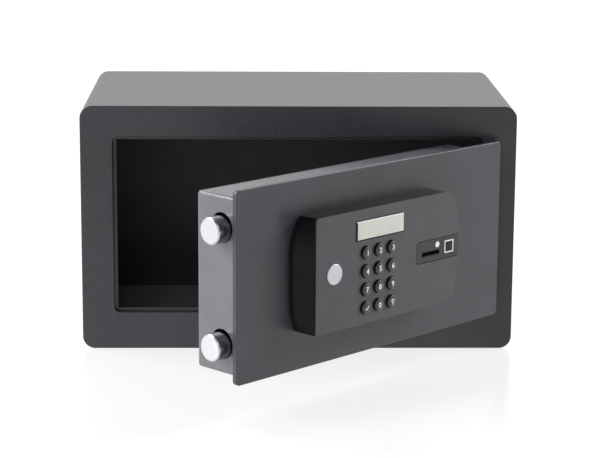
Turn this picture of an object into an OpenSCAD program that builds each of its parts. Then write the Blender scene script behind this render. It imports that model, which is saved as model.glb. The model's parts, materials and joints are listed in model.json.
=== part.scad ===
// Compact electronic room safe: a sheet-steel casing with a bolt-work door on
// two goose-neck hinge arms, and a raised keypad console on the door.
// Origin: centre of the casing's base, +X right, +Y to the back, +Z up.

/* [Casing] */
// Outside width of the casing
casing_w = 350; // [300:450]
// Outside depth of the casing
casing_d = 200; // [180:400]
// Outside height of the casing
casing_h = 200; // [180:260]
// Outside radius of the four long bends
casing_r = 10; // [6:16]
// Thickness of the casing sheet
sheet_t = 2; // [1.5:0.5:4]
// Left and right limit of the doorway from the middle
doorway_x = 148.8; // [120:0.1:160]
// Lower edge of the doorway
doorway_z0 = 30.6; // [20:0.1:50]
// Upper edge of the doorway
doorway_z1 = 175.3; // [150:0.1:185]
// Corner radius of the doorway
doorway_r = 5; // [2:8]
// How far the door stop shows inside the doorway
stop_show = 2.8; // [1:0.1:5]
// Thickness of the carpet on the floor
mat_t = 3; // [2:5]

/* [Fixing holes] */
// Radius of the fixing holes in the base and the back
fix_r = 5.5; // [4:0.5:7]
// Distance between the two holes in the base
fix_pitch = 220; // [150:260]
// Distance between the two holes in the back
fix_back_pitch = 120; // [100:260]
// Height of the two holes in the back
fix_back_z = 80; // [60:150]

/* [Door] */
// How far the door stands open
door_open = 44.3; // [0:0.1:100]
// Latch edge of the closed door plate
plate_x0 = -147; // [-160:0.1:-100]
// Hinge edge of the closed door plate
plate_x1 = 145.3; // [100:0.1:160]
// Lower edge of the door plate
plate_z0 = 32; // [20:0.1:60]
// Upper edge of the door plate
plate_z1 = 174; // [140:0.1:190]
// Thickness of the door plate
plate_t = 4; // [3:0.5:8]
// Corner radius of the door plate
plate_r = 3.5; // [1:0.5:8]

/* [Bolt box] */
// Latch side of the closed bolt box
box_x0 = -144; // [-150:0.1:-100]
// Hinge side of the closed bolt box
box_x1 = 131; // [60:0.1:140]
// Lower side of the bolt box
box_z0 = 37.8; // [30:0.1:60]
// Upper side of the bolt box
box_z1 = 168.1; // [140:0.1:185]
// Depth of the bolt box behind the door plate
box_d = 40.75; // [30:0.25:60]
// Bend radius at the back of the bolt box
box_r = 4; // [2:6]
// Thickness of the bolt box sheet
box_t = 1.5; // [1:0.5:3]

/* [Bolts] */
// Radius of a locking bolt
bolt_r = 10; // [8:0.5:12]
// Radius of the holes that the bolts pass
bolt_hole_r = 11.1; // [9:0.1:14]
// Length of a locking bolt
bolt_len = 60; // [40:80]
// How far a thrown bolt stands out of the box
bolt_out = 12; // [8:20]
// Depth of the bolt axis behind the door's front
bolt_depth = 18.2; // [14:0.1:26]
// Height half-way between the two bolts
bolt_mid_z = 102.2; // [80:0.1:120]
// How far the bolts sit below the middle of their holes
bolt_drop = 0.85; // [0:0.05:1]
// Distance between the two bolts
bolt_pitch = 85.2; // [60:0.1:110]
// Tooth module of the rack and pinion
gear_m = 1.25; // [1:0.25:2]
// Number of teeth on the pinion
gear_n = 18; // [17:24]

/* [Hinge] */
// Hinge axis, right of the middle
pin_x = 165.9; // [150:0.1:170]
// Hinge axis, behind the casing's front
pin_depth = 14.1; // [8:0.1:25]
// Radius of a hinge pin
pin_r = 3; // [2:0.5:4]
// Radial clearance of the arm on its pin
pin_gap = 0.05; // [0.02:0.01:0.1]
// Height of one hinge arm
arm_h = 12; // [8:16]
// Lower side of the lower arm
arm_low_z = 46; // [40:70]
// Lower side of the upper arm
arm_high_z = 148; // [120:155]

/* [Console] */
// Left end of the console
con_x0 = -94.4; // [-120:0.1:-60]
// Right end of the console
con_x1 = 74.2; // [40:0.1:110]
// Lower side of the console
con_z0 = 60.5; // [45:0.1:80]
// Upper side of the console
con_z1 = 147.5; // [120:0.1:160]
// How far the console stands out of the door
con_t = 18; // [10:25]
// Left edge of the console's front after the slanted cut
con_cut_x = -84.8; // [-90:0.1:-80]
// Height of the left wall below the slanted cut
con_cut_t = 4.3; // [2:0.1:10]
// Thickness of the metal front of the console
face_t = 1; // [0.5:0.1:2]
// Wall thickness of the plastic console
wall_t = 2.5; // [1.5:0.5:4]

/* [Keypad] */
// Distance from key to key
key_pitch = 14; // [12:0.5:18]
// Middle column of the keys
key_mid_x = -18.3; // [-40:0.1:0]
// Height of the top row of keys
key_top_z = 114.8; // [90:0.1:130]
// Radius of a key
key_r = 4.75; // [4:0.05:6]
// Gap round a key
key_gap = 0.4; // [0.2:0.1:1]
// How far a key stands out of the front
key_out = 2.5; // [1:0.1:4]

/* [Hidden] */
$fn = 96;
front_y = -casing_d / 2;
back_y = casing_d / 2;
pin_y = front_y + pin_depth;
plate_y = front_y + plate_t;
box_y = plate_y + box_d;
con_y = front_y - con_t;
bolt_y = front_y + bolt_depth;
gear_r = gear_m * gear_n / 2;
gear_t = 6;
gear_y = bolt_y - gear_t / 2;
gear_x = -50;
gear_z = bolt_mid_z + 6;
rack_z = gear_z - gear_r;
tooth_slack = 0.18;
upper_arc_z = 120.8;
lower_arc_z = 89.3;
reader_x0 = 24.3;
reader_z0 = 95.5;
reader_z1 = 113;
eps = 0.01;
steel_c = [0.27, 0.27, 0.28];
sheet_c = [0.42, 0.42, 0.43];
dark_c = [0.10, 0.10, 0.11];
chrome_c = [0.80, 0.81, 0.82];
zinc_c = [0.66, 0.67, 0.68];
pale_c = [0.80, 0.81, 0.77];
white_c = [0.93, 0.93, 0.93];
board_c = [0.10, 0.33, 0.20];

// A plate in the XZ plane from y0 to y1
module upright(y0, y1) {
    translate([0, y1, 0])
        rotate([90, 0, 0])
            linear_extrude(height = y1 - y0)
                children();
}

// A cylinder along Y from y0 to y1
module rod_y(x, z, y0, y1, r) {
    translate([x, y1, z])
        rotate([90, 0, 0])
            cylinder(r = r, h = y1 - y0);
}

// A cylinder along X from x0 to x1
module rod_x(y, z, x0, x1, r) {
    translate([x0, y, z])
        rotate([0, 90, 0])
            cylinder(r = r, h = x1 - x0);
}

module block(x0, x1, y0, y1, z0, z1) {
    translate([x0, y0, z0])
        cube([x1 - x0, y1 - y0, z1 - z0]);
}

// Rectangle with round corners, made of squares and circles so that it stays exact
module soft_rect(x0, x1, z0, z1, r) {
    translate([x0 + r, z0]) square([x1 - x0 - 2 * r, z1 - z0]);
    translate([x0, z0 + r]) square([x1 - x0, z1 - z0 - 2 * r]);
    for (x = [x0 + r, x1 - r], z = [z0 + r, z1 - r])
        translate([x, z]) circle(r = r);
}

// Everything on the door is drawn closed and swung about the hinge axis
module on_door() {
    translate([pin_x, pin_y, 0])
        rotate([0, 0, door_open])
            translate([-pin_x, -pin_y, 0])
                children();
}

// ---- Casing ----

module casing_wrap() {
    bore_r = casing_r - sheet_t;
    color(steel_c)
        difference() {
            upright(front_y + sheet_t, back_y - sheet_t)
                difference() {
                    soft_rect(-casing_w / 2, casing_w / 2, 0, casing_h, casing_r);
                    soft_rect(-casing_w / 2 + sheet_t, casing_w / 2 - sheet_t,
                              sheet_t, casing_h - sheet_t, bore_r);
                }
            for (x = [-fix_pitch / 2, fix_pitch / 2])
                translate([x, 0, -1])
                    cylinder(r = fix_r, h = sheet_t + 2);
        }
}

module front_frame() {
    color(steel_c)
        upright(front_y, front_y + sheet_t)
            difference() {
                soft_rect(-casing_w / 2, casing_w / 2, 0, casing_h, casing_r);
                soft_rect(-doorway_x, doorway_x, doorway_z0, doorway_z1, doorway_r);
            }
}

module back_panel() {
    color(steel_c)
        difference() {
            upright(back_y - sheet_t, back_y)
                soft_rect(-casing_w / 2, casing_w / 2, 0, casing_h, casing_r);
            for (x = [-fix_back_pitch / 2, fix_back_pitch / 2])
                rod_y(x, fix_back_z, back_y - sheet_t - 1, back_y + 1, fix_r);
        }
}

// An angle round the latch side, top and bottom that the closed door meets
module door_stop() {
    stop_y = front_y + plate_t + 0.5;
    lap = 2;
    color(steel_c)
        difference() {
            union() {
                upright(stop_y, stop_y + sheet_t)
                    stop_outline(doorway_x + lap, lap);
                upright(front_y + sheet_t, stop_y)
                    stop_outline(doorway_x + lap, lap);
            }
            block(-doorway_x, doorway_x + lap, front_y, stop_y, doorway_z0, doorway_z1);
            block(-doorway_x + stop_show, doorway_x + lap, front_y, 0,
                  doorway_z0 + stop_show, doorway_z1 - stop_show);
        }
}

module stop_outline(x, lap) {
    translate([-x, doorway_z0 - lap])
        square([x + doorway_x - 4, doorway_z1 - doorway_z0 + 2 * lap]);
}

module floor_mat() {
    mat_x = casing_w / 2 - casing_r - 0.5;
    color(dark_c)
        difference() {
            block(-mat_x, mat_x, front_y + 4, back_y - 4, sheet_t, sheet_t + mat_t);
            for (x = [-fix_pitch / 2, fix_pitch / 2])
                translate([x, 0, 0])
                    cylinder(r = 15, h = 20);
        }
}

// ---- Hinges ----

// Two ears on a web that is welded behind the front frame
module hinge_bracket(z0) {
    ear_t = 3;
    ear_gap = 0.2;
    low = z0 - ear_gap - ear_t;
    high = z0 + arm_h + ear_gap + ear_t;
    web_y = front_y + sheet_t;
    color(steel_c)
        difference() {
            union() {
                block(pin_x - 12.9, casing_w / 2 - sheet_t, web_y, web_y + 2.5, low, high);
                for (z = [low, high - ear_t])
                    block(pin_x - 7, casing_w / 2 - sheet_t, web_y, pin_y + 7, z, z + ear_t);
            }
            translate([pin_x, pin_y, low - 1])
                cylinder(r = pin_r, h = high - low + 2);
        }
}

module hinge_pin(z0) {
    low = z0 - 5;
    high = z0 + arm_h + 3.2;
    color(zinc_c)
        translate([pin_x, pin_y, 0]) {
            translate([0, 0, low]) cylinder(r = pin_r, h = high - low);
            translate([0, 0, high]) cylinder(r = pin_r + 1.8, h = 2);
        }
}

module hinge_bracket_upper() { hinge_bracket(arm_high_z); }
module hinge_bracket_lower() { hinge_bracket(arm_low_z); }
module hinge_pin_upper() { hinge_pin(arm_high_z); }
module hinge_pin_lower() { hinge_pin(arm_low_z); }

// Eye, leg and strap of one goose-neck arm; the strap lies on the bolt box
module hinge_arm(z0) {
    strap_t = 4.5;
    leg_w = 4;
    strap_x = 100;
    color(steel_c)
        on_door()
            difference() {
                translate([0, 0, z0])
                    linear_extrude(height = arm_h) {
                        translate([pin_x, pin_y]) circle(r = pin_r + 2.5);
                        translate([pin_x - leg_w, pin_y])
                            square([2 * leg_w, box_y + strap_t - pin_y]);
                        translate([strap_x, box_y])
                            square([pin_x + leg_w - strap_x, strap_t]);
                    }
                translate([pin_x, pin_y, z0 - 1])
                    cylinder(r = pin_r + pin_gap, h = arm_h + 2);
            }
}

module hinge_arm_upper() { hinge_arm(arm_high_z); }
module hinge_arm_lower() { hinge_arm(arm_low_z); }

module arm_screws() {
    head_y = box_y + 4.5;
    color(zinc_c)
        on_door()
            for (x = [107, 122], z = [arm_low_z, arm_high_z])
                rod_y(x, z + arm_h / 2, head_y, head_y + 2.2, 3.8);
}

// ---- Door plate and bolt box ----

module door_plate() {
    color(steel_c)
        on_door()
            difference() {
                upright(front_y, plate_y)
                    soft_rect(plate_x0, plate_x1, plate_z0, plate_z1, plate_r);
                rod_y(10, 75, front_y - 1, plate_y + 1, 6);
            }
}

// Plan outline of the bolt box: square at the plate, bent at the back
module box_plan(inset) {
    r = box_r - inset;
    x0 = box_x0 + inset;
    x1 = box_x1 - inset;
    y1 = box_y - inset;
    translate([x0, plate_y]) square([x1 - x0, y1 - r - plate_y]);
    translate([x0 + r, plate_y]) square([x1 - x0 - 2 * r, y1 - plate_y]);
    for (x = [x0 + r, x1 - r])
        translate([x, y1 - r]) circle(r = r);
}

module box_wrap() {
    color(sheet_c)
        on_door()
            difference() {
                translate([0, 0, box_z0 + box_t])
                    linear_extrude(height = box_z1 - box_z0 - 2 * box_t)
                        difference() {
                            box_plan(0);
                            box_plan(box_t);
                        }
                for (s = [-1, 1])
                    rod_x(bolt_y, bolt_mid_z + s * bolt_pitch / 2,
                          box_x0 - 1, box_x0 + box_t + 1, bolt_hole_r);
                block(52, 112, box_y - box_t - 1, box_y + 1, 78, 130);
                rod_y(20, 60, box_y - box_t - 1, box_y + 1, 3.9);
            }
}

module box_top() {
    color(sheet_c)
        on_door()
            translate([0, 0, box_z1 - box_t])
                linear_extrude(height = box_t)
                    box_plan(0);
}

module box_bottom() {
    color(sheet_c)
        on_door()
            translate([0, 0, box_z0])
                linear_extrude(height = box_t)
                    box_plan(0);
}

module box_screws() {
    color(zinc_c)
        on_door()
            for (x = [-130, -50, 30], z = [box_z0 + 9, box_z1 - 9])
                rod_y(x, z, box_y, box_y + 1.8, 3.2);
}

// ---- Bolt work ----

module bolt(s) {
    chamfer = 0.8;
    tip_x = box_x0 - bolt_out;
    color(chrome_c)
        on_door()
            translate([tip_x, bolt_y, bolt_mid_z + s * bolt_pitch / 2 - bolt_drop])
                rotate([0, 90, 0]) {
                    cylinder(r1 = bolt_r - chamfer, r2 = bolt_r, h = chamfer);
                    translate([0, 0, chamfer])
                        cylinder(r = bolt_r, h = bolt_len - chamfer);
                }
}

module bolt_upper() { bolt(1); }
module bolt_lower() { bolt(-1); }

module bolt_guide(s) {
    z = bolt_mid_z + s * bolt_pitch / 2 - bolt_drop;
    color(zinc_c)
        on_door()
            difference() {
                block(-128, -116, plate_y, bolt_y + 13, z - 14, z + 14);
                rod_x(bolt_y, z, -130, -114, bolt_r + 0.06);
            }
}

module bolt_guide_upper() { bolt_guide(1); }
module bolt_guide_lower() { bolt_guide(-1); }

// Cross-bar on the bolts' inner ends with a toothed rack
module bolt_carriage() {
    bar_x = box_x0 - bolt_out + bolt_len;
    root_z = rack_z - 1.25 * gear_m;
    pitch = PI * gear_m;
    half_top = pitch / 4 - gear_m * tan(20) - tooth_slack;
    half_root = pitch / 4 + 1.25 * gear_m * tan(20) - tooth_slack;
    color(zinc_c)
        on_door() {
            block(bar_x, bar_x + 6, gear_y, gear_y + gear_t,
                  bolt_mid_z - bolt_pitch / 2 - 8, bolt_mid_z + bolt_pitch / 2 + 8);
            upright(gear_y, gear_y + gear_t) {
                translate([bar_x + 5, root_z - 6])
                    square([gear_x + 25 - bar_x - 5, 6]);
                for (i = [-8 : 5])
                    translate([gear_x + i * pitch, rack_z])
                        polygon([[-half_root, -1.25 * gear_m - eps],
                                 [half_root, -1.25 * gear_m - eps],
                                 [half_top, gear_m], [-half_top, gear_m]]);
            }
        }
}

// Angle turned by an involute where it reaches radius r
function involute(r) = let (b = gear_r * cos(20), t = sqrt(pow(max(r, b) / b, 2) - 1))
    t * 180 / PI - atan(t);

// Half of a tooth's angle at radius r
function flank(r) = 90 / gear_n - tooth_slack / gear_r * 180 / PI
    + involute(gear_r) - involute(r);

// One pinion tooth, pointing up
function tooth() = let (rs = [for (i = [0 : 5]) gear_r - 1.2 * gear_m + i * 2.2 * gear_m / 5])
    concat([[-1, gear_r - 3 * gear_m]],
           [for (r = rs) r * [-sin(flank(r)), cos(flank(r))]],
           [for (i = [5 : -1 : 0]) rs[i] * [sin(flank(rs[i])), cos(flank(rs[i]))]],
           [[1, gear_r - 3 * gear_m]]);

module bolt_pinion() {
    y1 = gear_y + gear_t;
    color(zinc_c)
        on_door()
            difference() {
                union() {
                    rod_y(gear_x, gear_z, gear_y, y1, gear_r - 1.2 * gear_m + 0.05);
                    upright(gear_y, y1)
                        for (i = [0 : gear_n - 1])
                            translate([gear_x, gear_z])
                                rotate(180 + (i + 0.5) * 360 / gear_n)
                                    polygon(tooth());
                }
                rod_y(gear_x, gear_z, gear_y - 1, y1 + 1, 2.55);
            }
}

module gear_bracket() {
    y0 = gear_y + gear_t + 1;
    color(zinc_c)
        on_door()
            difference() {
                union() {
                    block(-78, -8, y0, y0 + 1.5, gear_z - 8, gear_z + 32);
                    for (x = [-73, -13])
                        rod_y(x, gear_z + 25, plate_y, y0, 3);
                }
                rod_y(gear_x, gear_z, y0 - 1, y0 + 3, 4);
            }
}

module gearbox() {
    y0 = gear_y + gear_t + 2.5;
    color(dark_c)
        on_door() {
            block(-68, -32, y0, box_y - box_t - 1, gear_z - 3, gear_z + 30);
            rod_y(gear_x, gear_z, gear_y, y0 + 1, 2.5);
        }
}

module motor() {
    y = (gear_y + gear_t + 2.5 + box_y - box_t - 1) / 2;
    color(zinc_c)
        on_door() {
            rod_x(y, gear_z + 18, -32, -6, 8);
            rod_x(y, gear_z + 18, -6, -3, 3);
        }
}

// ---- Electronics in the door ----

module main_board() {
    color(board_c)
        on_door() {
            block(-22, 44, plate_y + 3, plate_y + 4.6, 50, 88);
            for (x = [-18, 40], z = [54, 84])
                rod_y(x, z, plate_y, plate_y + 3 + eps, 2);
            block(-10, 8, plate_y + 4.6, plate_y + 7.6, 58, 72);
            block(22, 38, plate_y + 4.6, plate_y + 10.6, 62, 74);
        }
}

module harness() {
    color(dark_c)
        on_door()
            rod_y(10, 75, con_y + face_t + wall_t + 5.4, plate_y + 3, 2.4);
}

module grommet() {
    color(dark_c)
        on_door()
            difference() {
                union() {
                    rod_y(10, 75, front_y, plate_y, 6);
                    rod_y(10, 75, plate_y, plate_y + 1.5, 8);
                }
                rod_y(10, 75, front_y - 1, plate_y + 3, 3);
            }
}

module battery_holder() {
    y1 = box_y - box_t;
    color(dark_c)
        on_door()
            difference() {
                block(50, 114, y1 - 19, y1, 76, 132);
                block(51.5, 112.5, y1 - 17.5, y1 + 1, 77.5, 130.5);
            }
}

module battery_cells() {
    y = box_y - box_t - 17.5 + 7.25;
    color(pale_c)
        on_door()
            for (i = [0 : 3])
                translate([59.1 + i * 15.3, y, 78]) {
                    cylinder(r = 7.25, h = 49);
                    translate([0, 0, 49]) cylinder(r = 2.7, h = 1.4);
                }
}

// Two channels that the battery lid slides in
module battery_rails() {
    color(dark_c)
        on_door()
            for (s = [-1, 1])
                upright_rail(104 + s * 30.2, s);
}

module upright_rail(z, s) {
    foot_z = s > 0 ? z : z - 3;
    lip_z = s > 0 ? z - 2 : z - 3;
    block(-6, 118, box_y, box_y + 3.6, foot_z, foot_z + 3);
    block(-6, 118, box_y + 2.4, box_y + 3.6, lip_z, lip_z + 5);
}

module battery_lid() {
    lid_y = box_y + 0.1;
    color(dark_c)
        on_door() {
            block(48, 116, lid_y, lid_y + 2.1, 74, 134);
            for (i = [0 : 4])
                block(52 + i * 3, 53.4 + i * 3, lid_y + 2.1, lid_y + 3, 94, 114);
        }
}

module reset_switch() {
    color(dark_c)
        on_door()
            block(15.5, 24.5, box_y - box_t - 7, box_y - box_t - 2.5, 55.5, 64.5);
}

module reset_button() {
    color([0.70, 0.12, 0.10])
        on_door() {
            rod_y(20, 60, box_y - box_t - 1, box_y + 1.4, 3.6);
            rod_y(20, 60, box_y - box_t - 1.4, box_y - box_t, 4.6);
        }
}

// ---- Console ----

// Front outline of the console, or of its hollow when inset
module con_outline(inset) {
    bow_r = 150;
    mid_z = (con_z0 + con_z1) / 2;
    left_r = 12 - inset;
    right_r = 18 - inset;
    x0 = con_x0 + inset;
    x1 = con_x1 - inset;
    z0 = con_z0 + inset;
    z1 = con_z1 - inset;
    upper_r = 37.2 - inset;
    lower_r = 66.4 - inset;
    difference() {
        intersection() {
            union() {
                translate([x0, z0 + left_r]) square([x1 - x0 - right_r, z1 - z0 - 2 * left_r]);
                translate([x0 + left_r, z0]) square([x1 - x0 - left_r - right_r, z1 - z0]);
                translate([x0 + left_r, z0 + right_r])
                    square([x1 - x0 - left_r, z1 - z0 - 2 * right_r]);
                for (z = [z0 + left_r, z1 - left_r])
                    translate([x0 + left_r, z]) circle(r = left_r);
                for (z = [z0 + right_r, z1 - right_r])
                    translate([x1 - right_r, z]) circle(r = right_r);
            }
            translate([x1 - bow_r, mid_z]) circle(r = bow_r);
        }
        difference() {
            translate([x0 - 1, upper_arc_z]) square([upper_r + 1, 60]);
            translate([x0 + upper_r, upper_arc_z]) circle(r = upper_r);
        }
        difference() {
            translate([x0 - 1, lower_arc_z - 60]) square([lower_r + 1, 60]);
            translate([x0 + lower_r, lower_arc_z]) circle(r = lower_r);
        }
    }
}

// The space in front of the slanted left facet, moved inwards for the hollow
module con_cut(inset) {
    run_x = con_x0 - con_cut_x;
    run_y = con_t - con_cut_t;
    slant = atan2(run_y, run_x);
    translate([con_cut_x, con_y, 0])
        rotate([0, 0, slant])
            translate([-30, -inset, con_z0 - 5])
                cube([90, 40, con_z1 - con_z0 + 10]);
    corner_cut(inset, con_z0 + 0.24, 108.6, 194.9);
    corner_cut(inset, con_z1 - 1.8, 64.45, 188.4);
}

// A flat taken off the facet's end, through the end of the front's left edge
module corner_cut(inset, z, tip, turn) {
    translate([con_cut_x, con_y, z])
        rotate([0, tip, turn])
            translate([-60, -60, -inset])
                cube([120, 120, 60]);
}

module key_holes(r, y0, y1) {
    for (c = [-1 : 1], n = [0 : 3])
        rod_y(key_mid_x + c * key_pitch, key_top_z - n * key_pitch, y0, y1, r);
}

module console_body() {
    skin_y = con_y + face_t;
    color(dark_c)
        on_door()
            difference() {
                upright(skin_y, front_y)
                    con_outline(0);
                con_cut(0);
                difference() {
                    upright(skin_y + wall_t, front_y + 1)
                        con_outline(wall_t);
                    con_cut(wall_t);
                }
                key_holes(key_r + key_gap, skin_y - 1, skin_y + wall_t + 1);
                block(-41.5, 8, skin_y - 1, skin_y + wall_t + 1, 125.5, 138);
                block(reader_x0 + 1.5, 73, skin_y - 1, skin_y + 1.6, reader_z0 + 1.5, reader_z1 - 1.5);
                reader_cuts(skin_y, skin_y + wall_t + 1);
            }
}

module reader_cuts(y0, y1) {
    block(31.1, 51.6, y0, y1, 100.3, 104.1);
    block(57.9, 66.2, y0, y1, 100.9, 108.5);
    rod_y(48.5, 108.15, y0, y1, 1.6);
}

// Where the reader panel lies in the metal front, open at the right end
module reader_outline(inset) {
    r = 3;
    soft_rect(reader_x0 + inset, 90, reader_z0 + inset, reader_z1 - inset, r - inset);
}

module console_face() {
    color(steel_c)
        on_door()
            difference() {
                upright(con_y, con_y + face_t)
                    difference() {
                        con_outline(0);
                        reader_outline(0);
                    }
                con_cut(0);
                key_holes(key_r + key_gap, con_y - 1, con_y + face_t + 1);
                block(-43.2, 9.8, con_y - 1, con_y + face_t + 1, 123.9, 139.5);
            }
}

// Raised window with bevelled edges
module lcd_lens() {
    y0 = con_y + face_t;
    rise = 0.9;
    color(pale_c)
        on_door()
            difference() {
                block(-43, 9.6, con_y - rise, y0, 124.1, 139.3);
                lens_bevel(-43, 9.6, 124.1, 139.3, con_y - rise, 0.8);
            }
}

// Wedges that take the four front edges off a block
module lens_bevel(x0, x1, z0, z1, y, c) {
    for (x = [x0, x1])
        translate([x, y, z0 - 1])
            rotate([0, 0, 45])
                translate([-c * 0.7071, -c * 0.7071, 0])
                    cube([c * 1.4142, c * 1.4142, z1 - z0 + 2]);
    for (z = [z0, z1])
        translate([x0 - 1, y, z])
            rotate([45, 0, 0])
                translate([0, -c * 0.7071, -c * 0.7071])
                    cube([x1 - x0 + 2, c * 1.4142, c * 1.4142]);
}

module lcd_module() {
    y0 = con_y + face_t;
    color(dark_c)
        on_door() {
            block(-41.3, 7.8, y0, y0 + wall_t, 125.7, 137.8);
            block(-44, 11, y0 + wall_t, y0 + wall_t + 2, 123, 141);
        }
}

module badge_disc() {
    color(chrome_c)
        on_door()
            translate([-65.6, con_y, 103.7])
                rotate([90, 0, 0]) {
                    cylinder(r = 7.8, h = 0.4);
                    translate([0, 0, 0.4]) cylinder(r1 = 7.8, r2 = 7.4, h = 0.4);
                }
}

module reader_panel() {
    y0 = con_y + 0.2;
    color(sheet_c)
        on_door()
            difference() {
                intersection() {
                    upright(y0, con_y + face_t)
                        intersection() {
                            con_outline(0.2);
                            reader_outline(0.2);
                        }
                    block(0, 90, y0, con_y + 3, 90, 120);
                }
                reader_cuts(y0 - 1, con_y + 3);
            }
}

module reader_frame() {
    color(white_c)
        on_door()
            upright(con_y - 0.5, con_y + 0.2)
                difference() {
                    translate([56.8, 99.8]) square([10.5, 9.8]);
                    translate([57.8, 100.8]) square([8.5, 7.8]);
                }
}

module reader_window() {
    color(dark_c)
        on_door()
            block(58, 66.1, con_y - 0.2, con_y + face_t + wall_t, 101, 108.4);
}

module status_light() {
    color(white_c)
        on_door() {
            rod_y(48.5, 108.15, con_y + 0.2, con_y + face_t + wall_t, 1.5);
            rod_y(48.5, 108.15, con_y - 0.6, con_y + 0.2, 2.3);
        }
}

module service_port() {
    y0 = con_y + 0.2;
    color(dark_c)
        on_door()
            difference() {
                block(31.2, 51.5, y0, con_y + 6, 100.4, 104);
                block(31.8, 50.9, y0 - 1, con_y + 4.5, 101, 103.4);
            }
}

module key_mat() {
    y0 = con_y + face_t + wall_t + 2.2;
    color(dark_c)
        on_door() {
            block(-40, 3.4, y0 + 0.8, y0 + 1.6, 64.5, 122.5);
            key_domes(y0);
        }
}

module key_domes(y0) {
    for (c = [-1 : 1], n = [0 : 3])
        rod_y(key_mid_x + c * key_pitch, key_top_z - n * key_pitch, y0, y0 + 0.8 + eps, 3.5);
}

module keypad_board() {
    y0 = con_y + face_t + wall_t + 3.8;
    color(board_c)
        on_door() {
            block(-52, 61, y0, y0 + 1.6, 64.5, 143);
            for (x = [-48, 57], z = [68, 139])
                rod_y(x, z, y0 + 1.6 - eps, front_y, 2.5);
        }
}

// ---- Keys ----

// Cap with a chamfered rim and a retaining flange behind the wall
module key_cap(c, n) {
    chamfer = 0.6;
    wall_y = con_y + face_t + wall_t;
    x = key_mid_x + c * key_pitch;
    z = key_top_z - n * key_pitch;
    color(steel_c)
        on_door() {
            translate([x, con_y - key_out + chamfer, z])
                rotate([90, 0, 0])
                    cylinder(r1 = key_r, r2 = key_r - chamfer, h = chamfer);
            rod_y(x, z, con_y - key_out + chamfer, wall_y, key_r);
            rod_y(x, z, wall_y, wall_y + 0.8, key_r + 1.15);
        }
}

module key_1() { key_cap(-1, 0); }
module key_2() { key_cap(0, 0); }
module key_3() { key_cap(1, 0); }
module key_4() { key_cap(-1, 1); }
module key_5() { key_cap(0, 1); }
module key_6() { key_cap(1, 1); }
module key_7() { key_cap(-1, 2); }
module key_8() { key_cap(0, 2); }
module key_9() { key_cap(1, 2); }
module key_enter() { key_cap(-1, 3); }
module key_0() { key_cap(0, 3); }
module key_lock() { key_cap(1, 3); }

casing_wrap();
front_frame();
back_panel();
door_stop();
floor_mat();
hinge_bracket_upper();
hinge_bracket_lower();
hinge_pin_upper();
hinge_pin_lower();
door_plate();
box_wrap();
box_top();
box_bottom();
box_screws();
hinge_arm_upper();
hinge_arm_lower();
arm_screws();
bolt_guide_upper();
bolt_guide_lower();
gear_bracket();
gearbox();
motor();
main_board();
harness();
grommet();
battery_holder();
battery_cells();
battery_rails();
reset_switch();
console_body();
console_face();
lcd_lens();
lcd_module();
badge_disc();
reader_panel();
reader_frame();
reader_window();
status_light();
service_port();
key_mat();
keypad_board();
bolt_upper();
bolt_lower();
bolt_carriage();
bolt_pinion();
battery_lid();
reset_button();
key_1();
key_2();
key_3();
key_4();
key_5();
key_6();
key_7();
key_8();
key_9();
key_0();
key_enter();
key_lock();
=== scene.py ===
import json
import math

import bmesh
import bpy
from mathutils import Matrix, Vector, geometry, noise

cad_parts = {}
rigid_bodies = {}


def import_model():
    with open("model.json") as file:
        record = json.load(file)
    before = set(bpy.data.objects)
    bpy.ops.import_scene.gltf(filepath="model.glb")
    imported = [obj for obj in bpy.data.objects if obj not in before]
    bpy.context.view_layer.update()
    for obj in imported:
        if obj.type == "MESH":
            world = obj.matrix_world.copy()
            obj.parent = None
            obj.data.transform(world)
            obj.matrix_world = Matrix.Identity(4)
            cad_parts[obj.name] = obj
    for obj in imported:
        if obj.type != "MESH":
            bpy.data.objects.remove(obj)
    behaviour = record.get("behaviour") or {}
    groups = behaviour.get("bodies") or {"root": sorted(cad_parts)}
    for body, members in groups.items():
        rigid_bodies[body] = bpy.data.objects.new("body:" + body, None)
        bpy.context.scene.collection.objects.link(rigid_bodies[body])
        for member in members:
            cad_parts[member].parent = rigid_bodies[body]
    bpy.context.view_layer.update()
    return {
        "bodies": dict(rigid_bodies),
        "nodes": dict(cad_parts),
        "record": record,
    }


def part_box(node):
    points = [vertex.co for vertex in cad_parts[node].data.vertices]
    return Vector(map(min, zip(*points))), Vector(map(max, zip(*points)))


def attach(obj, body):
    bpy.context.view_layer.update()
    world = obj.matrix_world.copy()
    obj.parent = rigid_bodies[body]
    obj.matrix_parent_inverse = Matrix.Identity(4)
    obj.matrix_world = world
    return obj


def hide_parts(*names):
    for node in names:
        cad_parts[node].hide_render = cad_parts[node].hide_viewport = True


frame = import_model()
scene = bpy.context.scene
nodes = frame["nodes"]
behaviour = frame["record"]["behaviour"]
joints = {j["name"]: j for j in behaviour["joints"]}
mm = 0.001
print("frame loaded:", len(nodes), "nodes")

# The door stands open at rest; its pieces are drawn closed and swung by this
swing = joints["door_swing"]
pinPlace = Vector(swing["pos_m"])
doorAngle = math.radians(-swing["range_deg"][0])
doorTurn = Matrix.Translation(pinPlace) @ Matrix.Rotation(doorAngle, 4, "Z")
doorTurn = doorTurn @ Matrix.Translation(-pinPlace)
doorBack = doorTurn.inverted()

view = {
    "place": (-0.0369, -1.7069, 0.4537),  # metres
    "turn": 1.369,  # degrees to the right
    "tip": 12.412,  # degrees down
    "roll": 0.364,
    "lens": 122.2,
    "sensor": 36,
    "farthest": 20,
}


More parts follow.
